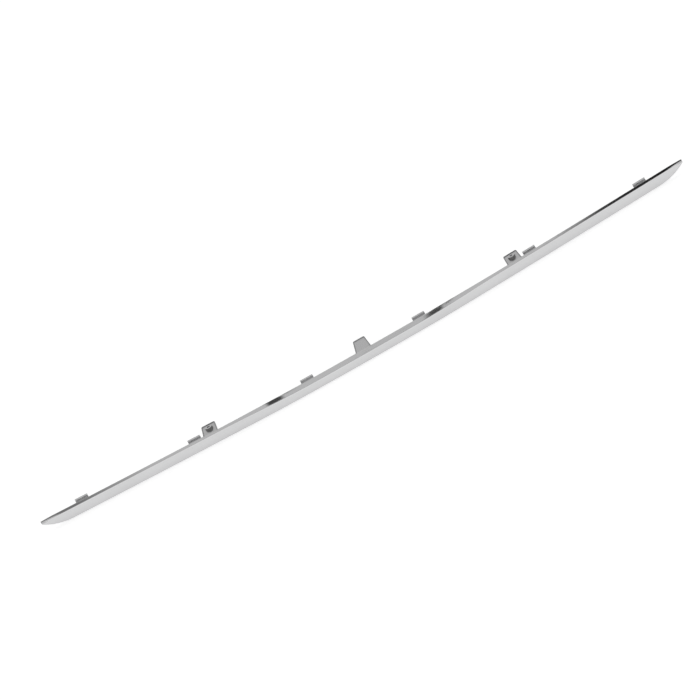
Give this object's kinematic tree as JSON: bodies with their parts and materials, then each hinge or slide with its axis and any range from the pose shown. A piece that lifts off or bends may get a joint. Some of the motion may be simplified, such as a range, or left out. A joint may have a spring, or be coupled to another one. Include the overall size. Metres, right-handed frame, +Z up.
{
  "type": "bumper chrome trim",
  "caption": "Slim bowed bumper trim strip with a bevelled top edge, blade-like tips, rear locating hooks and screw tabs, moulded in one piece and chrome plated.",
  "frame": {"origin": "middle of the trim's box, at the level of its flat lower edge", "axes": "+X along the trim from tip to tip (car's width), -Y forward out of the show face, +Z up"},
  "size_m": [1.1474, 0.0456, 0.0257],
  "materials": {
    "chrome_plating": "bright mirror plating"
  },
  "bodies": {
    "root": {"trim_moulding": "chrome_plating"}
  },
  "joints": []
}
